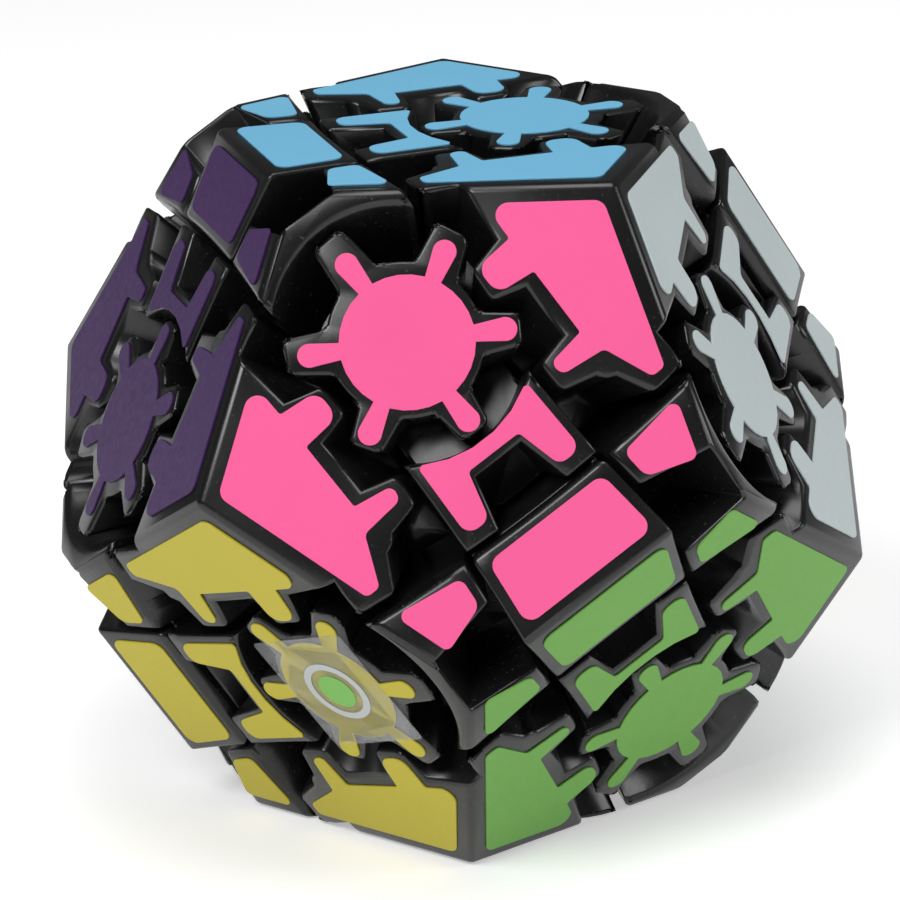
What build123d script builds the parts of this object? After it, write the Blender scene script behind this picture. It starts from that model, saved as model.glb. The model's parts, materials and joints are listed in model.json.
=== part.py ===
from build123d import *
from itertools import product
from math import atan, cos, radians, sin, sqrt, tan
import os

os.makedirs("parts", exist_ok=True)

# ---------------------------------------------------------------------------
# Driving dimensions, in millimetres and degrees
# ---------------------------------------------------------------------------
FACE_TO_FACE = 65.0        # across two opposite pentagonal faces
RIDGE_ROUND = 1.0          # rounding along the thirty ridges

# Every parting surface is a cone with its tip at the middle of the puzzle. Its slope is the
# height above the middle plane of a turning axis divided by the distance from that axis.
SLICE_SLOPE = 0.220        # side of a middle-slice piece
LAYER_SLOPE = 0.238        # side of an outer-layer edge body
CORNER_SLOPE = 0.252       # tips of the corner teeth

# Inside, the pieces hook behind each other in two shells, as in any 3x3x3 mechanism.
FOOT_INNER = 15.5          # radius where the feet begin
FOOT_OUTER = 18.7
FLANGE_INNER = 19.0
FLANGE_OUTER = 22.7
COVER_INNER = 23.1         # radius where the visible part of a layer piece begins
FOOT_SLICE_SLOPE = 0.22
FOOT_LAYER_SLOPE = 0.25
FLANGE_SLICE_SLOPE = 0.45
FLANGE_LAYER_SLOPE = 0.48

# Gears and crowns. Six teeth on a gear, twenty on the crown round each layer.
GEAR_TEETH = 6
CROWN_TEETH = 20
GEAR_ROOT_SLOPE = 0.212
GEAR_TIP_SLOPE = 0.320
GEAR_TOOTH_ROOT = 0.064    # half width of a gear tooth, per unit of height along the gear axis
GEAR_TOOTH_TIP = 0.048
GEAR_BOTTOM = 27.9         # along the gear axis, from the middle of the puzzle
POCKET_SLOPE = 0.3465
POCKET_FLOOR = 27.4
GROOVE_FLOOR = 27.0
GROOVE_ROOT_HALF = 4.8     # half width of a crown groove, degrees round the layer axis
GROOVE_MOUTH_HALF = 6.3
CORNER_ROOT_SLOPE = 0.352
BRACKET_ROOT_SLOPE = 0.400
PETAL_ROOT_SLOPE = 0.430

# Axle and screw of a gear
AXLE_RADIUS = 3.2
AXLE_TOP = 30.2
AXLE_GAP = 0.1              # running clearance of a gear on its axle
GEAR_SCREW_RADIUS = 1.1
GEAR_SCREW_TOP = 32.3
GEAR_HEAD_RADIUS = 2.3
GEAR_HEAD_HEIGHT = 1.6
GEAR_HEAD_SEAT = 25.2
GEAR_HEAD_BORE = 2.6

# Core, centre screws, springs and washers
CORE_RADIUS = 8.0
ARM_RADIUS = 3.1
ARM_END = 19.1
CENTER_SEAT = 19.2
CENTER_SEAT_RADIUS = 3.4
CENTER_FLOOR = 21.0
CENTER_SPLIT = 32.1        # height where the centre cap meets the centre base
CENTER_RECESS = 3.7
SPIGOT_RADIUS = 3.6
SPIGOT_LENGTH = 2.4
SCREW_RADIUS = 1.3
SCREW_BORE = 1.6
SCREW_TIP = 9.5
SCREW_HEAD_SEAT = 27.6
SCREW_HEAD_RADIUS = 2.7
SCREW_HEAD_HEIGHT = 1.8
WASHER_RADIUS = 3.4
WASHER_THICKNESS = 0.6
SPRING_WIRE = 0.7
SPRING_RADIUS = 2.7
SPRING_TURNS = 6

# ---------------------------------------------------------------------------
# Dodecahedron geometry. The puzzle's own frame has its middle at the origin and its three
# turning axes along X, Y and Z: X to the top layer, Y to the left, Z to the front.
# ---------------------------------------------------------------------------
PHI = (1 + sqrt(5)) / 2
INRADIUS = FACE_TO_FACE / 2
NORMAL_LENGTH = sqrt(1 + PHI**2)
REACH = 60.0               # further out than any part of the puzzle
DRAWN_AT = 30.0            # distance from the middle at which a radial outline is drawn
GROOVE_START_SLOPE = 0.15  # a groove is cut from well inside the slice
GEAR_TIP_ROUND = 0.9       # of the outline at DRAWN_AT
GEAR_VALLEY_ROUND = 0.6
RECESS_SHARE = 0.6         # cross recess of a screw head, of the head's radius


def cyclic(values, steps):
    """The three values moved on by some steps: (x, y, z) becomes (z, x, y)."""
    return tuple(values[(i - steps) % 3] for i in range(3))


def face_normals():
    signs = list(product((1, -1), repeat=2))
    return [cyclic((p, 0, q * PHI), step) for step in range(3) for p, q in signs]


def dodecahedron():
    """The outer envelope, its ridges rounded."""
    block = Box(2 * REACH, 2 * REACH, 2 * REACH)
    for normal in face_normals():
        cut = Plane(origin=Vector(*normal).normalized() * INRADIUS, z_dir=normal)
        block = split(block, cut, keep=Keep.BOTTOM)
    return fillet(block.edges(), RIDGE_ROUND)


# ---------------------------------------------------------------------------
# Building blocks
# ---------------------------------------------------------------------------
def polar(radius, slope):
    """Point at a distance from the middle, in the half plane (distance from axis, height)."""
    angle = atan(slope)
    return radius * cos(angle), radius * sin(angle)


def stepped_side(shells):
    """Profile from the middle outwards: straight along each slope, an arc at each change.

    shells is a list of (slope, outer radius) from the inside out.
    """
    lines = []
    start = (0, 0)
    for (slope, outer), following in zip(shells, shells[1:] + [None]):
        end = polar(outer, slope)
        lines.append(Line(start, end))
        if following:
            start = polar(outer, following[0])
            middle = polar(outer, (slope + following[0]) / 2)
            lines.append(ThreePointArc(end, middle, start))
    return lines


AXIS_PLANES = {
    "x": Plane(origin=(0, 0, 0), x_dir=(0, 1, 0), z_dir=(1, 0, 0)),
    "y": Plane(origin=(0, 0, 0), x_dir=(0, 0, 1), z_dir=(0, 1, 0)),
    "z": Plane.XY,
}


def revolve_about(axis, lines, top):
    """Solid of revolution about a turning axis, between a stepped side and a closing line."""
    last = lines[-1] @ 1
    closing = Polyline((last.X, last.Y), *top, (0, 0))
    profile = make_face(Wire(Curve() + lines + closing).edges())
    upright = Plane.XZ * profile
    return AXIS_PLANES[axis] * revolve(upright, Axis.Z)


def layer_region(axis, cover_slope):
    """Room of an outer layer: everything above its stepped parting surface."""
    lines = stepped_side([
        (FOOT_LAYER_SLOPE, FOOT_OUTER),
        (FLANGE_LAYER_SLOPE, COVER_INNER),
        (cover_slope, REACH),
    ])
    return revolve_about(axis, lines, [(REACH, REACH), (0, REACH)])


def slice_region(axis):
    """Room of a middle slice: everything between two stepped parting surfaces."""
    lines = stepped_side([
        (FOOT_SLICE_SLOPE, FLANGE_INNER),
        (FLANGE_SLICE_SLOPE, FLANGE_OUTER),
        (SLICE_SLOPE, REACH),
    ])
    last = lines[-1] @ 1
    half = revolve_about(axis, lines, [(last.X, 0)])
    return half + mirror(half, about=AXIS_PLANES[axis])


def radial_prism(outline, x_dir, toward, near, far):
    """Prism that narrows to the middle of the puzzle, through an outline at DRAWN_AT."""
    heading = Vector(*toward).normalized()
    ends = [
        Plane(origin=heading * distance, x_dir=x_dir, z_dir=toward)
        * scale(outline, distance / DRAWN_AT)
        for distance in (near, far)
    ]
    return loft(ends, ruled=True)


def axis_vector(index):
    return tuple(1 if i == index % 3 else 0 for i in range(3))


def rod(toward, radius, low, high):
    """Cylinder on a line out of the middle, from one distance to another."""
    heading = Vector(*toward).normalized()
    cylinder = Cylinder(radius, high - low, align=(Align.CENTER, Align.CENTER, Align.MIN))
    return Plane(origin=heading * low, z_dir=toward) * cylinder


# ---------------------------------------------------------------------------
# Crown teeth: grooves cut in a layer, one every 18 degrees round its axis
# ---------------------------------------------------------------------------
def groove_half_width(slope):
    """Half width of a groove in degrees, wide at the mouth and narrow at the root."""
    along = (slope - LAYER_SLOPE) / (CORNER_ROOT_SLOPE - LAYER_SLOPE)
    return GROOVE_MOUTH_HALF + along * (GROOVE_ROOT_HALF - GROOVE_MOUTH_HALF)


def groove_point(azimuth, slope):
    """Outline point, azimuth in degrees from the middle of the groove."""
    return DRAWN_AT * tan(radians(azimuth)), DRAWN_AT * slope / cos(radians(azimuth))


def plain_groove(root_slope):
    mouth = groove_half_width(GROOVE_START_SLOPE)
    corners = [(-mouth, GROOVE_START_SLOPE), (mouth, GROOVE_START_SLOPE)]
    corners += [(GROOVE_ROOT_HALF, root_slope), (-GROOVE_ROOT_HALF, root_slope)]
    return Polygon(*[groove_point(*corner) for corner in corners], align=None)


def shared_groove(side):
    """Groove split between a corner and an edge body; its root slants. side is 1 or -1."""
    mouth = groove_half_width(GROOVE_START_SLOPE)
    corners = [(mouth, GROOVE_START_SLOPE), (GROOVE_ROOT_HALF, CORNER_ROOT_SLOPE)]
    corners += [(-GROOVE_ROOT_HALF, PETAL_ROOT_SLOPE), (-mouth, PETAL_ROOT_SLOPE)]
    corners += [(-mouth, GROOVE_START_SLOPE)]
    return Polygon(*[groove_point(side * a, s) for a, s in corners], align=None)


def crown_cut(axis_index, azimuth, outline):
    """Groove in the crown round one axis; azimuth runs from the next axis to the one after."""
    angle = radians(azimuth)
    first = Vector(*axis_vector(axis_index + 1))
    second = Vector(*axis_vector(axis_index + 2))
    toward = first * cos(angle) + second * sin(angle)
    sideways = second * cos(angle) - first * sin(angle)
    return radial_prism(outline, sideways, tuple(toward), GROOVE_FLOOR, REACH)


# ---------------------------------------------------------------------------
# The pieces, each in its first place: gear and edge body between X and Z, corner
# between X, Y and Z, center on Z
# ---------------------------------------------------------------------------
GEAR_AXIS = (1, 0, 1)
GEAR_FACE = (1, 0, PHI)
CENTER_AXIS = (0, 0, 1)


def gear_outline():
    """Six-toothed outline at DRAWN_AT along the gear axis, with a tooth on the Y axis."""
    root_radius = GEAR_ROOT_SLOPE * DRAWN_AT
    tip_radius = GEAR_TIP_SLOPE * DRAWN_AT
    root_half = GEAR_TOOTH_ROOT * DRAWN_AT
    tip_half = GEAR_TOOTH_TIP * DRAWN_AT
    shoulder = root_radius * 0.9
    right = [(root_half, 0), (root_half, shoulder), (tip_half, tip_radius)]
    left = [(-x, y) for x, y in reversed(right)]
    tooth = Polygon(*right, *left, align=None)
    tooth = fillet(tooth.vertices().sort_by(Axis.Y)[-2:], GEAR_TIP_ROUND)
    outline = Circle(root_radius)
    for index in range(GEAR_TEETH):
        outline += Rot(0, 0, index * 360 / GEAR_TEETH) * tooth
    valleys = [v for v in outline.vertices() if abs(v.center().length - root_radius) < 0.1]
    return fillet(valleys, GEAR_VALLEY_ROUND)


def gear():
    """Bevel gear, its top flush with the face of the dodecahedron."""
    body = radial_prism(gear_outline(), (0, 1, 0), GEAR_AXIS, GEAR_BOTTOM, REACH)
    face = Plane(origin=Vector(*GEAR_FACE).normalized() * INRADIUS, z_dir=GEAR_FACE)
    body = split(body, face, keep=Keep.BOTTOM)
    body -= rod(GEAR_AXIS, AXLE_RADIUS + AXLE_GAP, GEAR_BOTTOM - 1, AXLE_TOP + AXLE_GAP)
    body -= rod(GEAR_AXIS, GEAR_SCREW_RADIUS, AXLE_TOP, GEAR_SCREW_TOP)
    return body


def edge_body(envelope):
    """Edge piece: foot, flange, pocket with an axle for its gear, and four crown teeth."""
    body = envelope & layer_region("x", LAYER_SLOPE)
    body &= layer_region("z", LAYER_SLOPE)
    body &= slice_region("y")
    body -= Sphere(FOOT_INNER)
    body -= radial_prism(Circle(POCKET_SLOPE * DRAWN_AT), (0, 1, 0), GEAR_AXIS, POCKET_FLOOR, REACH)
    body -= crown_cut(0, 90, plain_groove(BRACKET_ROOT_SLOPE))
    body -= crown_cut(2, 0, plain_groove(PETAL_ROOT_SLOPE))
    body += rod(GEAR_AXIS, AXLE_RADIUS, POCKET_FLOOR - 1, AXLE_TOP)
    body -= rod(GEAR_AXIS, GEAR_SCREW_RADIUS + AXLE_GAP, FOOT_INNER - 1, AXLE_TOP + 1)
    body -= rod(GEAR_AXIS, GEAR_HEAD_BORE, FOOT_INNER - 1, GEAR_HEAD_SEAT)
    return body


def corner(envelope):
    """Corner piece: foot and three crown segments of three teeth each."""
    body = envelope
    for axis in AXIS_PLANES:
        body &= layer_region(axis, CORNER_SLOPE)
    body -= Sphere(FOOT_INNER)
    pitch = 360 / CROWN_TEETH
    for axis_index in range(3):
        body -= crown_cut(axis_index, pitch, shared_groove(1))
        body -= crown_cut(axis_index, 2 * pitch, plain_groove(CORNER_ROOT_SLOPE))
        body -= crown_cut(axis_index, 3 * pitch, plain_groove(CORNER_ROOT_SLOPE))
        body -= crown_cut(axis_index, 4 * pitch, shared_groove(-1))
    return body


def center(envelope):
    """Whole center piece, base and cap together, before it is parted."""
    body = envelope & slice_region("x") & slice_region("y")
    body -= Sphere(FLANGE_INNER)
    above = Plane(origin=(0, 0, CORE_RADIUS), z_dir=CENTER_AXIS)
    return split(body, above, keep=Keep.TOP)


def center_base(envelope):
    body = split(center(envelope), Plane.XY.offset(CENTER_SPLIT), keep=Keep.BOTTOM)
    body -= rod(CENTER_AXIS, CENTER_SEAT_RADIUS, 0, CENTER_SEAT)
    body -= rod(CENTER_AXIS, SCREW_BORE, 0, CENTER_SPLIT)
    body -= rod(CENTER_AXIS, CENTER_RECESS, CENTER_FLOOR, CENTER_SPLIT)
    return body


def center_cap(envelope):
    body = split(center(envelope), Plane.XY.offset(CENTER_SPLIT), keep=Keep.TOP)
    return body + rod(CENTER_AXIS, SPIGOT_RADIUS, CENTER_SPLIT - SPIGOT_LENGTH, CENTER_SPLIT)


def core():
    """Ball with six arms, each with a hole for a center screw."""
    body = Sphere(CORE_RADIUS)
    arms = [tuple(sign * part for part in axis_vector(i)) for i in range(3) for sign in (1, -1)]
    for toward in arms:
        body += rod(toward, ARM_RADIUS, 0, ARM_END)
    for toward in arms:
        body -= rod(toward, SCREW_RADIUS, SCREW_TIP - 1, ARM_END + 1)
    return body


def cross_recess(radius, depth):
    slot = Box(2 * radius, radius / 2, depth, align=(Align.CENTER, Align.CENTER, Align.MAX))
    return slot + Rot(0, 0, 90) * slot


def center_screw():
    """Pan-head screw on Z, its tip in the core."""
    head_top = SCREW_HEAD_SEAT + SCREW_HEAD_HEIGHT
    body = rod(CENTER_AXIS, SCREW_RADIUS, SCREW_TIP, SCREW_HEAD_SEAT)
    head = rod(CENTER_AXIS, SCREW_HEAD_RADIUS, SCREW_HEAD_SEAT, head_top)
    head = fillet(head.edges().sort_by(Axis.Z)[-1], SCREW_HEAD_HEIGHT / 3)
    recess = cross_recess(SCREW_HEAD_RADIUS * RECESS_SHARE, SCREW_HEAD_HEIGHT / 2)
    return body + head - Pos(0, 0, head_top) * recess


def center_washer():
    low = SCREW_HEAD_SEAT - WASHER_THICKNESS
    disc = rod(CENTER_AXIS, WASHER_RADIUS, low, SCREW_HEAD_SEAT)
    return disc - rod(CENTER_AXIS, SCREW_BORE, low - 1, SCREW_HEAD_SEAT + 1)


def center_spring():
    """Compression spring between the floor of the base and the washer."""
    low = CENTER_FLOOR + SPRING_WIRE / 2
    high = SCREW_HEAD_SEAT - WASHER_THICKNESS - SPRING_WIRE / 2
    path = Helix((high - low) / SPRING_TURNS, high - low, SPRING_RADIUS)
    wire = Plane(origin=path @ 0, z_dir=path % 0) * Circle(SPRING_WIRE / 2)
    return Pos(0, 0, low) * sweep(wire, path, is_frenet=True)


def gear_screw():
    """Screw through the axle from inside, threaded into the gear; drawn on Z."""
    head_top = GEAR_HEAD_SEAT - AXLE_GAP
    body = rod(CENTER_AXIS, GEAR_SCREW_RADIUS, head_top, GEAR_SCREW_TOP)
    head = rod(CENTER_AXIS, GEAR_HEAD_RADIUS, head_top - GEAR_HEAD_HEIGHT, head_top)
    recess = cross_recess(GEAR_HEAD_RADIUS * RECESS_SHARE, GEAR_HEAD_HEIGHT / 2)
    under = Rot(180, 0, 0) * recess
    return body + head - Pos(0, 0, head_top - GEAR_HEAD_HEIGHT) * under


# ---------------------------------------------------------------------------
# Placing. A turn moves the axes on and changes an even number of signs, so it maps the
# dodecahedron onto itself.
# ---------------------------------------------------------------------------
SIDE_NAMES = (
    {1: "top", -1: "base"},
    {1: "left", -1: "right"},
    {1: "front", -1: "back"},
)
EVEN_SIGNS = [signs for signs in product((1, -1), repeat=3) if signs[0] * signs[1] * signs[2] == 1]
TURNS = [(step, signs) for step in range(3) for signs in EVEN_SIGNS]

# The puzzle rests on one face: its own frame is turned so that this face lies on the ground.
RESTING = Plane(
    origin=(0, 0, INRADIUS),
    x_dir=(-1 / NORMAL_LENGTH, 0, PHI / NORMAL_LENGTH),
    z_dir=(0, -1, 0),
)


def turned(values, turn):
    step, signs = turn
    return tuple(s * v for s, v in zip(signs, cyclic(values, step)))


def place_name(place):
    return "_".join(names[value] for names, value in zip(SIDE_NAMES, place) if value)


def turn_plane(turn):
    return Plane(origin=(0, 0, 0), x_dir=turned((1, 0, 0), turn), z_dir=turned((0, 0, 1), turn))


def turns_for(place):
    """One turn for each different place that the first place can go to, by name."""
    return {place_name(turned(place, turn)): turn for turn in reversed(TURNS)}


def placed(shape, turn):
    return RESTING * (turn_plane(turn) * shape)


def write(name, shape):
    export_step(shape, f"parts/{name}.step")


def main():
    envelope = dodecahedron()
    edge_turns = turns_for(GEAR_AXIS)
    center_turns = turns_for(CENTER_AXIS)
    first_edge, first_gear = edge_body(envelope), gear()
    for name, turn in edge_turns.items():
        write(f"edge_body_{name}", placed(first_edge, turn))
        write(f"gear_{name}", placed(first_gear, turn))

    first_base, first_cap = center_base(envelope), center_cap(envelope)
    for name, turn in center_turns.items():
        write(f"center_base_{name}", placed(first_base, turn))
        write(f"center_cap_{name}", placed(first_cap, turn))

    first_corner = corner(envelope)
    mirrored_corner = mirror(first_corner, about=Plane.XY)
    for signs in EVEN_SIGNS:
        write(f"corner_{place_name(signs)}", placed(first_corner, (0, signs)))
        other = (signs[0], signs[1], -signs[2])
        write(f"corner_{place_name(other)}", placed(mirrored_corner, (0, signs)))

    write("core", RESTING * core())
    fittings = {
        "center_screws": center_screw(),
        "center_washers": center_washer(),
        "center_springs": center_spring(),
    }
    for name, first in fittings.items():
        write(name, Compound([placed(first, turn).solid() for turn in center_turns.values()]))

    along_gear_axis = Plane(origin=(0, 0, 0), z_dir=GEAR_AXIS)
    first_screw = along_gear_axis * gear_screw()
    screws = {name: placed(first_screw, turn).solid() for name, turn in edge_turns.items()}
    for layer in ("top", "base"):
        write(f"gear_screws_{layer}", Compound([s for name, s in screws.items() if layer in name]))
    for name, screw in screws.items():
        if "top" not in name and "base" not in name:
            write(f"gear_screw_{name}", screw)


main()
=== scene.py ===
"""Looks of the geared dodecahedron puzzle: rounded black mouldings, vinyl stickers, light and camera."""

import json
from itertools import product
from math import cos, pi, radians, sin, sqrt, tan

import bmesh
import bpy
from mathutils import Euler, Matrix, Vector
from mathutils.bvhtree import BVHTree


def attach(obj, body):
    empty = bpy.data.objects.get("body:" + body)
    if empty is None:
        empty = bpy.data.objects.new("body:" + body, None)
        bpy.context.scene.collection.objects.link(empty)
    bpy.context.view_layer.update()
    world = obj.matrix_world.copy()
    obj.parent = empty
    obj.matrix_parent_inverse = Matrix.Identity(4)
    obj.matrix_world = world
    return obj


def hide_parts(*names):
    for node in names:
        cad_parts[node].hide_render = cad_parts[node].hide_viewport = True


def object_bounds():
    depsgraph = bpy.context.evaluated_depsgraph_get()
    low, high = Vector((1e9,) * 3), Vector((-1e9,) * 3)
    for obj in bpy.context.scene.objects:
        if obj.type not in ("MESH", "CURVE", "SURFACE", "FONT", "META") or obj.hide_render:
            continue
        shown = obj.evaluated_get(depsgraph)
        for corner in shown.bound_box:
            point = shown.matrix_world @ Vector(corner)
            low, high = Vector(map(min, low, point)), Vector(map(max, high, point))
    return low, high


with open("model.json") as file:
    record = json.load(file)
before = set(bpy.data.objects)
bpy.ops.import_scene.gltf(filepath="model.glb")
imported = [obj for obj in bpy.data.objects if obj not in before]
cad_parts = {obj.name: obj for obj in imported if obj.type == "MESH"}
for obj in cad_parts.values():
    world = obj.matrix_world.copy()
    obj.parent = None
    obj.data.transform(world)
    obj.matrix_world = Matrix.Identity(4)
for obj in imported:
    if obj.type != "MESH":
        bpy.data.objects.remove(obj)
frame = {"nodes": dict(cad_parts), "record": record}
cad_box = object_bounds()

# ---------------------------------------------------------------------------
# Geometry of the dodecahedron, in metres, worked out from the frame. The puzzle's own axes are
# X to the top layer, Y to the left, Z to the front.
# ---------------------------------------------------------------------------
PHI = (1 + sqrt(5)) / 2
NORMAL_LENGTH = sqrt(1 + PHI**2)
INRADIUS = (cad_box[1][2] - cad_box[0][2]) / 2
UNIT = INRADIUS * NORMAL_LENGTH / PHI**2      # half edge of the cube inside the dodecahedron
MILLIMETRE = 0.001

# Each face has its own flat axes: "up" runs to the corner furthest from the ridge that a center
# piece sits on, "side" runs along that ridge. Places on a face are (up, side) in UNITs.
FACE_NORMAL = Vector((1, 0, PHI)).normalized()
FACE_UP = Vector((PHI, 0, -1)).normalized()
FACE_SIDE = Vector((0, 1, 0))
GEAR_UP = 0.325                               # where the gear axis comes through the face

SIDE_NAMES = (
    {1: "top", -1: "base"},
    {1: "left", -1: "right"},
    {1: "front", -1: "back"},
)
EVEN_SIGNS = [signs for signs in product((1, -1), repeat=3) if signs[0] * signs[1] * signs[2] == 1]
TURNS = [(step, signs) for step in range(3) for signs in EVEN_SIGNS]


def turned(values, turn):
    """Where a direction goes when the axes move on by some steps and change signs."""
    step, signs = turn
    return tuple(signs[i] * values[(i - step) % 3] for i in range(3))


def place_name(place):
    return "_".join(names[value] for names, value in zip(SIDE_NAMES, place) if value)


def columns(x, y, z):
    return Matrix((x, y, z)).transposed()


def to_frame():
    """From the puzzle's own axes to the shared frame, where it rests on one face."""
    x = Vector((-1, 0, PHI)) / NORMAL_LENGTH
    z = Vector((0, -1, 0))
    return Matrix.Translation((0, 0, INRADIUS)) @ columns(x, z.cross(x), z).to_4x4()


def face_matrix(turn):
    """From a face's own axes (up, side, outwards) to the shared frame."""
    turn_matrix = columns(*(Vector(turned(axis, turn)) for axis in ((1, 0, 0), (0, 1, 0), (0, 0, 1))))
    axes = turn_matrix @ columns(FACE_UP, FACE_SIDE, FACE_NORMAL)
    lift = Matrix.Translation(turn_matrix @ FACE_NORMAL * INRADIUS)
    return to_frame() @ lift @ axes.to_4x4()


def add_piece(name, mesh):
    """Scene object made from a finished bmesh, which is freed."""
    data = bpy.data.meshes.new(name)
    mesh.to_mesh(data)
    mesh.free()
    piece = bpy.data.objects.new(name, data)
    bpy.context.scene.collection.objects.link(piece)
    return piece


node_body = {node: body for body, nodes in frame["record"]["behaviour"]["bodies"].items() for node in nodes}
node_slot = {part["node"]: part["material_slot"] for part in frame["record"]["subparts"]}

# ---------------------------------------------------------------------------
# Materials
# ---------------------------------------------------------------------------


def new_material(name):
    material = bpy.data.materials.new(name)
    material.use_nodes = True
    return material, material.node_tree, material.node_tree.nodes["Principled BSDF"]


def noise(tree, scale, detail=3.0, roughness=0.55):
    """Noise in the object's own coordinates; scale is in features per metre."""
    coordinates = tree.nodes.new("ShaderNodeTexCoord")
    texture = tree.nodes.new("ShaderNodeTexNoise")
    texture.inputs["Scale"].default_value = scale
    texture.inputs["Detail"].default_value = detail
    texture.inputs["Roughness"].default_value = roughness
    tree.links.new(coordinates.outputs["Object"], texture.inputs["Vector"])
    return texture.outputs["Fac"]


def mapped(tree, value, low, high, to_low, to_high):
    """A value between low and high, spread over another range."""
    node = tree.nodes.new("ShaderNodeMapRange")
    node.inputs["From Min"].default_value = low
    node.inputs["From Max"].default_value = high
    node.inputs["To Min"].default_value = to_low
    node.inputs["To Max"].default_value = to_high
    tree.links.new(value, node.inputs["Value"])
    return node.outputs["Result"]


def blended(tree, factor, first, second):
    node = tree.nodes.new("ShaderNodeMix")
    node.data_type = "RGBA"
    node.inputs["A"].default_value = (*first, 1)
    node.inputs["B"].default_value = (*second, 1)
    tree.links.new(factor, node.inputs["Factor"])
    return node.outputs["Result"]


def bump(tree, shader, height, strength, distance):
    node = tree.nodes.new("ShaderNodeBump")
    node.inputs["Strength"].default_value = strength
    node.inputs["Distance"].default_value = distance
    tree.links.new(height, node.inputs["Height"])
    tree.links.new(node.outputs["Normal"], shader.inputs["Normal"])


def black_plastic(name, dust):
    """Glossy moulded ABS, a little uneven, with finger marks and dust."""
    material, tree, shader = new_material(name)
    handled = noise(tree, 90, 4)
    specks = noise(tree, 2600, 2)
    dusty = mapped(tree, specks, 0.66, 0.76, 0, dust)
    colour = blended(tree, dusty, (0.0050, 0.0052, 0.0056), (0.12, 0.115, 0.11))
    tree.links.new(colour, shader.inputs["Base Color"])
    tree.links.new(mapped(tree, handled, 0.3, 0.7, 0.20, 0.34), shader.inputs["Roughness"])
    shader.inputs["Specular IOR Level"].default_value = 0.5
    bump(tree, shader, noise(tree, 900, 3), 0.12, 0.05 * MILLIMETRE)
    return material


def vinyl(name, colour):
    """Self-adhesive vinyl: even colour, a faint orange peel, fine scuffs."""
    material, tree, shader = new_material(name)
    cloudy = noise(tree, 60, 3)
    paler = tuple(min(1, part * 1.06 + 0.004) for part in colour)
    deeper = tuple(part * 0.93 for part in colour)
    tree.links.new(blended(tree, cloudy, deeper, paler), shader.inputs["Base Color"])
    scuffs = noise(tree, 1400, 4, 0.7)
    tree.links.new(mapped(tree, scuffs, 0.35, 0.7, 0.33, 0.5), shader.inputs["Roughness"])
    shader.inputs["Specular IOR Level"].default_value = 0.22
    bump(tree, shader, noise(tree, 700, 2), 0.10, 0.04 * MILLIMETRE)
    return material


def metal(name, colour, grain):
    material, tree, shader = new_material(name)
    streaks = noise(tree, grain, 5, 0.65)
    darker = tuple(part * 0.8 for part in colour)
    tree.links.new(blended(tree, streaks, darker, colour), shader.inputs["Base Color"])
    tree.links.new(mapped(tree, streaks, 0.3, 0.7, 0.25, 0.45), shader.inputs["Roughness"])
    shader.inputs["Metallic"].default_value = 1
    bump(tree, shader, streaks, 0.15, 0.02 * MILLIMETRE)
    return material


def pale_nylon():
    material, tree, shader = new_material("core_nylon")
    cloudy = noise(tree, 150, 4)
    tree.links.new(blended(tree, cloudy, (0.66, 0.65, 0.61), (0.76, 0.75, 0.72)), shader.inputs["Base Color"])
    tree.links.new(mapped(tree, cloudy, 0.3, 0.7, 0.45, 0.6), shader.inputs["Roughness"])
    bump(tree, shader, noise(tree, 1500, 3), 0.2, 0.04 * MILLIMETRE)
    return material


def clear_film():
    """Thin clear plastic, slightly milky, with faint wrinkles."""
    material, tree, shader = new_material("clear_film")
    milky = noise(tree, 300, 3)
    tree.links.new(mapped(tree, milky, 0.3, 0.7, 0.06, 0.16), shader.inputs["Alpha"])
    tree.links.new(mapped(tree, milky, 0.3, 0.7, 0.12, 0.30), shader.inputs["Roughness"])
    shader.inputs["Base Color"].default_value = (0.75, 0.77, 0.80, 1)
    bump(tree, shader, noise(tree, 300, 2), 0.15, 0.05 * MILLIMETRE)
    return material


STICKER_COLOURS = {
    "top_front": ("pink", (0.83, 0.105, 0.295)),
    "base_front": ("green", (0.122, 0.320, 0.050)),
    "left_front": ("yellow", (0.45, 0.385, 0.026)),
    "top_right": ("sky_blue", (0.18, 0.50, 0.74)),
    "top_left": ("purple", (0.042, 0.011, 0.082)),
    "right_front": ("silver", (0.48, 0.54, 0.545)),
    "top_back": ("red", (0.55, 0.02, 0.03)),
    "base_back": ("orange", (0.80, 0.22, 0.02)),
    "left_back": ("white", (0.80, 0.80, 0.78)),
    "right_back": ("dark_blue", (0.02, 0.06, 0.35)),
    "base_right": ("dark_green", (0.01, 0.13, 0.05)),
    "base_left": ("cream", (0.78, 0.68, 0.42)),
}
PLASTIC_DUST = {"corner_black": 0.30, "edge_black": 0.45, "gear_black": 0.35, "center_black": 0.30}
METAL_FINISHES = {
    "zinc_steel": ((0.62, 0.62, 0.60), 900),
    "spring_steel": ((0.45, 0.45, 0.46), 2000),
    "washer_steel": ((0.68, 0.68, 0.66), 1200),
}


def slot_materials():
    made = {slot: black_plastic(slot, dust) for slot, dust in PLASTIC_DUST.items()}
    made.update({slot: metal(slot, colour, grain) for slot, (colour, grain) in METAL_FINISHES.items()})
    made["core_plastic"] = pale_nylon()
    return made


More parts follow.
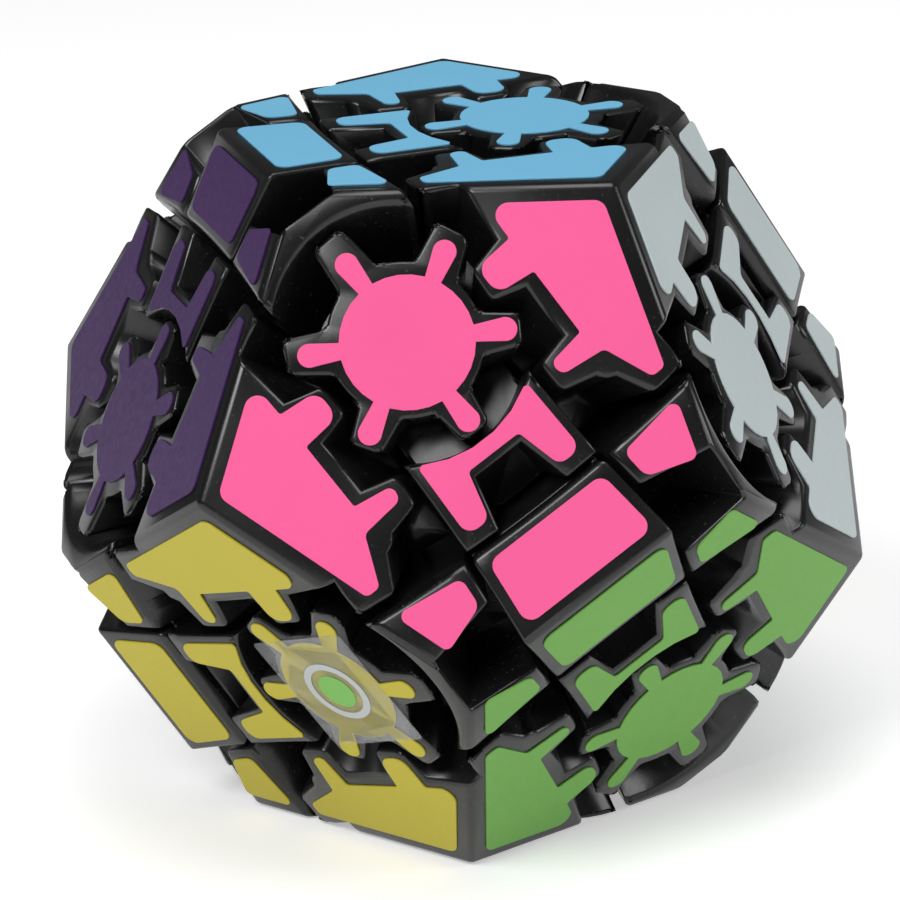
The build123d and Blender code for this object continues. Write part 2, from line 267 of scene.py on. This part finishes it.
# ---------------------------------------------------------------------------
# Black mouldings: the CAD shapes with their sharp outer edges rounded
# ---------------------------------------------------------------------------
MERGE = 0.0005 * MILLIMETRE
FLAT_ANGLE = radians(0.4)
SHARP_ANGLE = radians(28)
SMOOTH_ANGLE = radians(40)
ROUND_WIDTH = 0.75 * MILLIMETRE               # on upright corners, which run out from the middle
RIM_SHARE = 0.6                               # of that, where a side meets the outer surface
ROUND_SEGMENTS = 3
ROUND_FROM = 26 * MILLIMETRE                  # nearer the middle than this the edges stay sharp
UPRIGHT_SINE = 0.03                           # of the angle between an edge and the way out
SPIKE_OUT = 0.01 * MILLIMETRE                 # how far a rounded point may lie outside the sharp shape
SPIKE_IN = 0.45 * MILLIMETRE                  # and how far inside it
SPIKE_FAR = 0.6 * MILLIMETRE                  # past this the nearest surface may be another tooth
MIDDLE = Vector((0, 0, INRADIUS))


def is_upright(edge):
    """True where an edge runs straight out from the middle of the puzzle."""
    start, end = (corner.co - MIDDLE for corner in edge.verts)
    return start.cross(end).length < UPRIGHT_SINE * (end - start).length * end.length


def weigh_edges(mesh):
    weights = mesh.edges.layers.float.new("bevel_weight_edge")
    for edge in mesh.edges:
        nearest = min((corner.co - MIDDLE).length for corner in edge.verts)
        if nearest > ROUND_FROM and edge.is_convex and edge.calc_face_angle(0) > SHARP_ANGLE:
            edge[weights] = 1.0 if is_upright(edge) else RIM_SHARE


def mean_of_neighbours(corner, left_out):
    places = [edge.other_vert(corner) for edge in corner.link_edges]
    places = [place.co for place in places if place.index not in left_out]
    return sum(places, Vector()) / len(places) if places else corner.co


def trim_spikes(mesh, surface):
    """Bring back the few points a rounding threw off the shape it was made on."""
    astray, far = [], set()
    for corner in mesh.verts:
        nearest, normal, _, distance = surface.find_nearest(corner.co)
        outside = (corner.co - nearest).dot(normal) > 0
        if distance > (SPIKE_OUT if outside else SPIKE_IN):
            astray.append(corner)
        if distance > SPIKE_FAR:
            far.add(corner.index)
    for corner in astray:
        if corner.index in far:
            corner.co = mean_of_neighbours(corner, far)
            far.discard(corner.index)
        corner.co = surface.find_nearest(corner.co)[0]


def rounded_copy(node):
    """A copy of a CAD node with rounded edges, which stands for it."""
    mesh = bmesh.new()
    mesh.from_mesh(frame["nodes"][node].data)
    bmesh.ops.remove_doubles(mesh, verts=mesh.verts, dist=MERGE)
    bmesh.ops.dissolve_limit(mesh, angle_limit=FLAT_ANGLE, verts=mesh.verts, edges=mesh.edges)
    weigh_edges(mesh)
    surface = BVHTree.FromBMesh(mesh)
    piece = add_piece(f"{node}_moulding", mesh)
    sharp = piece.data
    sharp.name = f"{node}_sharp"
    bevel = piece.modifiers.new("rounding", "BEVEL")
    bevel.limit_method = "WEIGHT"
    bevel.width = ROUND_WIDTH
    bevel.segments = ROUND_SEGMENTS
    bevel.use_clamp_overlap = False
    evaluated = piece.evaluated_get(bpy.context.evaluated_depsgraph_get())
    data = bpy.data.meshes.new_from_object(evaluated)
    data.name = f"{node}_moulding"
    piece.modifiers.clear()
    piece.data = data
    bpy.data.meshes.remove(sharp)
    rounded = bmesh.new()
    rounded.from_mesh(data)
    trim_spikes(rounded, surface)
    rounded.to_mesh(data)
    rounded.free()
    data.polygons.foreach_set("use_smooth", [True] * len(data.polygons))
    data.set_sharp_from_angle(angle=SMOOTH_ANGLE)
    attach(piece, node_body[node])
    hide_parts(node)
    return piece


def make_mouldings(materials):
    for node, slot in node_slot.items():
        if slot in PLASTIC_DUST:
            rounded_copy(node).data.materials.append(materials[slot])
        for place in frame["nodes"][node].material_slots:
            place.material = materials[slot]


# ---------------------------------------------------------------------------
# Stickers: flat vinyl shapes. An outline is a list of (up, side, corner radius), in UNITs.
# ---------------------------------------------------------------------------
STICKER_THICKNESS = 0.16 * MILLIMETRE
STICKER_EDGE = 0.05 * MILLIMETRE
STICKER_LIFT = 0.01 * MILLIMETRE
ARC_STEP = radians(12)

CORNER_STICKER = [
    (0.300, 0.922, 0.050),
    (0.568, 0.555, 0.050),
    (0.402, 0.548, 0.012),
    (0.388, 0.382, 0.055),
    (0.262, 0.382, 0.055),
    (0.245, 0.545, 0.012),
    (-0.045, 0.540, 0.012),
    (-0.070, 0.378, 0.030),
    (-0.132, 0.388, 0.035),
    (-0.152, 0.572, 0.030),
    (-0.345, 0.652, 0.028),
    (-0.345, 0.712, 0.028),
]
PETAL_STICKER = [
    (-0.463, 0.674, 0.030),
    (-0.505, 0.388, 0.035),
    (-0.630, 0.398, 0.050),
    (-0.695, 0.598, 0.030),
]
RECTANGLE_STICKER = [
    (-0.520, 0.272, 0.050),
    (-0.520, -0.272, 0.050),
    (-0.800, -0.302, 0.050),
    (-0.800, 0.302, 0.050),
]
BRACKET_HALF_WIDTH = 0.262
BRACKET_ARC = 0.470                           # radius of its hollow top, about the gear axis
BRACKET_ARC_HALF = radians(31)
BRACKET_TIP_ROUND = 0.018
BRACKET_LEG = [
    (-0.395, 0.272, 0.050),
    (-0.395, 0.168, 0.046),
    (-0.205, 0.120, 0.020),
]
GEAR_DISC = 0.260
GEAR_TOOTH_TIP = 0.420
GEAR_TOOTH_HALF = (0.033, 0.046)              # half width of a sticker tooth at root and tip
GEAR_TEETH = 6


def rounded_outline(corners):
    """Points of an outline whose corners are arcs of the given radii."""
    points = []
    for index, (up, side, radius) in enumerate(corners):
        here = Vector((up, side))
        before = Vector(corners[index - 1][:2]) - here
        after = Vector(corners[(index + 1) % len(corners)][:2]) - here
        opening = before.angle(after)
        reach = radius / tan(opening / 2)
        start = here + before.normalized() * reach
        to_center = (before.normalized() + after.normalized()).normalized()
        middle = here + to_center * radius / sin(opening / 2)
        sweep = pi - opening
        steps = max(2, round(sweep / ARC_STEP))
        spoke = start - middle
        way = 1 if spoke.x * before.y - spoke.y * before.x < 0 else -1
        for step in range(steps + 1):
            points.append(middle + Matrix.Rotation(way * sweep * step / steps, 2) @ spoke)
    return points


def arc(middle, radius, start, end):
    steps = max(2, round(abs(end - start) / ARC_STEP))
    angles = (start + (end - start) * step / steps for step in range(steps + 1))
    return [Vector((middle[0] + radius * cos(angle), middle[1] + radius * sin(angle))) for angle in angles]


def bracket_outline():
    """Two legs below a hollow arc that follows the gear's pocket."""
    half_angle = pi - BRACKET_ARC_HALF
    hollow = arc((GEAR_UP, 0), BRACKET_ARC, half_angle, 2 * pi - half_angle)
    right = [(hollow[-1].x, -BRACKET_HALF_WIDTH, BRACKET_TIP_ROUND)]
    mirrored = [(up, -side, radius) for up, side, radius in reversed(BRACKET_LEG)]
    left = [(hollow[0].x, BRACKET_HALF_WIDTH, BRACKET_TIP_ROUND)]
    lower = rounded_outline(left + BRACKET_LEG + mirrored + right)
    return lower + list(reversed(hollow))


def gear_outline():
    """Disc with six round-tipped teeth, about the gear axis."""
    root_half, tip_half = GEAR_TOOTH_HALF
    points = []
    gap = 2 * pi / GEAR_TEETH
    root_angle = root_half / GEAR_DISC
    for index in range(GEAR_TEETH):
        heading = index * gap
        turn = Matrix.Rotation(heading, 2)
        tip = arc((GEAR_TOOTH_TIP - tip_half, 0), tip_half, -pi / 2, pi / 2)
        points += [turn @ point for point in tip]
        points += arc((0, 0), GEAR_DISC, heading + root_angle, heading + gap - root_angle)
    return [point + Vector((GEAR_UP, 0)) for point in points]


def mirrored_outline(points):
    return [Vector((point.x, -point.y)) for point in reversed(points)]


def plate(name, outline, matrix, lift=STICKER_LIFT, thickness=STICKER_THICKNESS, softness=STICKER_EDGE):
    """Thin flat piece with a softened upper edge, from an outline on a face."""
    mesh = bmesh.new()
    base = [mesh.verts.new((point.x * UNIT, point.y * UNIT, lift)) for point in outline]
    face = mesh.faces.new(base)
    face.normal_update()
    if face.normal.z < 0:
        face.normal_flip()
    lifted = bmesh.ops.extrude_face_region(mesh, geom=[face])["geom"]
    top = [item for item in lifted if isinstance(item, bmesh.types.BMVert)]
    bmesh.ops.translate(mesh, verts=top, vec=(0, 0, thickness))
    rim = {edge for corner in top for edge in corner.link_edges if edge.other_vert(corner) in top}
    bmesh.ops.bevel(mesh, geom=list(rim), offset=softness, segments=2, affect="EDGES", profile=0.5)
    bmesh.ops.recalc_face_normals(mesh, faces=mesh.faces)
    bmesh.ops.transform(mesh, matrix=matrix, verts=mesh.verts)
    return add_piece(name, mesh)


def stick(piece, node, material):
    piece.data.materials.append(material)
    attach(piece, node_body[node])


def make_stickers():
    """Seven stickers on each of the twelve faces, each riding with the piece below it."""
    corner_outline = rounded_outline(CORNER_STICKER)
    petal_outline = rounded_outline(PETAL_STICKER)
    for turn in TURNS:
        place = place_name(turned((1, 0, 1), turn))
        colour_name, colour = STICKER_COLOURS[place]
        material = vinyl(f"vinyl_{colour_name}", colour)
        matrix = face_matrix(turn)
        center = place_name(turned((0, 0, 1), turn))
        shapes = [
            ("gear", gear_outline(), f"gear_{place}"),
            ("bracket", bracket_outline(), f"edge_body_{place}"),
            ("rectangle", rounded_outline(RECTANGLE_STICKER), f"center_cap_{center}"),
        ]
        for side in (1, -1):
            edge = place_name(turned((0, side, 1), turn))
            corner = place_name(turned((1, side, 1), turn))
            word = "left" if side > 0 else "right"
            petal = petal_outline if side > 0 else mirrored_outline(petal_outline)
            large = corner_outline if side > 0 else mirrored_outline(corner_outline)
            shapes.append((f"petal_{word}", petal, f"edge_body_{edge}"))
            shapes.append((f"corner_{word}", large, f"corner_{corner}"))
        for shape, outline, node in shapes:
            piece = plate(f"sticker_{colour_name}_{shape}", outline, matrix)
            stick(piece, node, material)


# ---------------------------------------------------------------------------
# Clear film with a plain printed mark, on the gear of the yellow face
# ---------------------------------------------------------------------------
FILM_PLACE = "left_front"
FILM_HALF = (0.262, 0.285)
FILM_TURN = radians(4)
FILM_ROUND = 0.02
FILM_THICKNESS = 0.06 * MILLIMETRE
MARK_RINGS = ((0.150, 0.118), (0.085, 0.0))   # outer and inner radius, in UNITs
MARK_THICKNESS = 0.03 * MILLIMETRE
RING_SIDES = 48


def film_outline():
    up, side = FILM_HALF
    corners = [(up, side), (up, -side), (-up, -side), (-up, side)]
    rounded = rounded_outline([(*corner, FILM_ROUND) for corner in corners])
    turn = Matrix.Rotation(FILM_TURN, 2)
    return [turn @ point + Vector((GEAR_UP, 0)) for point in rounded]


def ring_row(mesh, radius, height):
    """Points of a circle about the gear axis."""
    row = []
    for index in range(RING_SIDES):
        angle = 2 * pi * index / RING_SIDES
        up = (GEAR_UP + radius * cos(angle)) * UNIT
        side = radius * sin(angle) * UNIT
        row.append(mesh.verts.new((up, side, height)))
    return row


def ring_piece(name, outer, inner, matrix, low):
    """Flat printed ring, or a disc where the inner radius is nothing."""
    high = low + MARK_THICKNESS
    mesh = bmesh.new()
    section = ((inner, low), (outer, low), (outer, high), (inner, high))
    rows = [ring_row(mesh, radius, height) for radius, height in section]
    for row, following in zip(rows, rows[1:] + rows[:1]):
        for index in range(RING_SIDES):
            after = (index + 1) % RING_SIDES
            mesh.faces.new((row[index], row[after], following[after], following[index]))
    bmesh.ops.remove_doubles(mesh, verts=mesh.verts, dist=MERGE)
    bmesh.ops.recalc_face_normals(mesh, faces=mesh.faces)
    bmesh.ops.transform(mesh, matrix=matrix, verts=mesh.verts)
    return add_piece(name, mesh)


def make_film():
    turn = next(turn for turn in TURNS if place_name(turned((1, 0, 1), turn)) == FILM_PLACE)
    matrix = face_matrix(turn)
    node = f"gear_{FILM_PLACE}"
    top = STICKER_LIFT + STICKER_THICKNESS
    film = plate("film", film_outline(), matrix, top, FILM_THICKNESS, FILM_THICKNESS / 4)
    stick(film, node, clear_film())
    inks = (vinyl("ink_grey", (0.42, 0.45, 0.45)), vinyl("ink_green", (0.16, 0.42, 0.08)))
    for index, ((outer, inner), ink) in enumerate(zip(MARK_RINGS, inks)):
        ring = ring_piece(f"film_mark_{index + 1}", outer, inner, matrix, top + FILM_THICKNESS)
        stick(ring, node, ink)


# ---------------------------------------------------------------------------
# Floor, light and camera
# ---------------------------------------------------------------------------
FLOOR_GAP = 0.02 * MILLIMETRE
FLOOR_LEVEL = -(STICKER_LIFT + STICKER_THICKNESS + FLOOR_GAP)   # under the stickers it rests on
FLOOR_GLOW = 0.42                             # as paper lit from behind


def make_floor():
    bpy.ops.mesh.primitive_plane_add(size=6, location=(0, 0, FLOOR_LEVEL))
    floor = bpy.context.object
    floor.name = "floor"
    material, tree, shader = new_material("floor_paper")
    tree.links.new(
        blended(tree, noise(tree, 3, 2), (0.86, 0.86, 0.86), (0.90, 0.90, 0.90)),
        shader.inputs["Base Color"],
    )
    shader.inputs["Roughness"].default_value = 0.9
    shader.inputs["Emission Color"].default_value = (1, 1, 1, 1)
    shader.inputs["Emission Strength"].default_value = FLOOR_GLOW
    floor.data.materials.append(material)


LIGHTS = (                                    # name, azimuth, elevation, distance, size, power
    ("key", -52, 46, 0.9, 0.40, 4.2),
    ("fill", 58, 24, 1.0, 0.45, 2.3),
    ("overhead", 20, 82, 0.8, 0.5, 2.9),
    ("low", -12, 3, 1.1, 0.4, 0.7),
)
WORLD_STRENGTH = 0.10


def area_light(name, azimuth, elevation, distance, size, power):
    """Soft light aimed at the middle of the puzzle; azimuth 0 is in front, 90 to the right."""
    turn = Euler((radians(90 - elevation), 0, radians(azimuth)))
    data = bpy.data.lights.new(name, "AREA")
    data.shape = "DISK"
    data.size = size
    data.energy = power
    lamp = bpy.data.objects.new(name, data)
    lamp.rotation_euler = turn
    lamp.location = MIDDLE + turn.to_matrix() @ Vector((0, 0, distance))
    bpy.context.scene.collection.objects.link(lamp)


def make_lights():
    for light in LIGHTS:
        area_light(*light)
    world = bpy.data.worlds.new("studio")
    world.use_nodes = True
    world.node_tree.nodes["Background"].inputs["Color"].default_value = (1, 1, 1, 1)
    world.node_tree.nodes["Background"].inputs["Strength"].default_value = WORLD_STRENGTH
    bpy.context.scene.world = world


CAMERA_AZIMUTH = -18.65
CAMERA_ELEVATION = 20.45
CAMERA_ROLL = 1.62
CAMERA_DISTANCE = 0.4046
CAMERA_LENS = 167.1                           # on a sensor 36 mm wide
CAMERA_ASIDE = (-0.67 * MILLIMETRE, -0.10 * MILLIMETRE)   # what it looks at, from the middle


def make_camera():
    data = bpy.data.cameras.new("camera")
    data.lens = CAMERA_LENS
    data.sensor_width = 36
    data.clip_start = 0.01
    camera = bpy.data.objects.new("camera", data)
    turn = Euler((radians(90 - CAMERA_ELEVATION), 0, radians(CAMERA_AZIMUTH))).to_matrix()
    turn = turn @ Matrix.Rotation(radians(-CAMERA_ROLL), 3, "Z")
    aside = turn @ Vector((*CAMERA_ASIDE, CAMERA_DISTANCE))
    camera.matrix_world = Matrix.Translation(MIDDLE + aside) @ turn.to_4x4()
    bpy.context.scene.collection.objects.link(camera)
    bpy.context.scene.camera = camera


make_camera()
make_mouldings(slot_materials())
make_stickers()
make_film()
make_floor()
make_lights()
bpy.context.scene.view_settings.view_transform = "Standard"
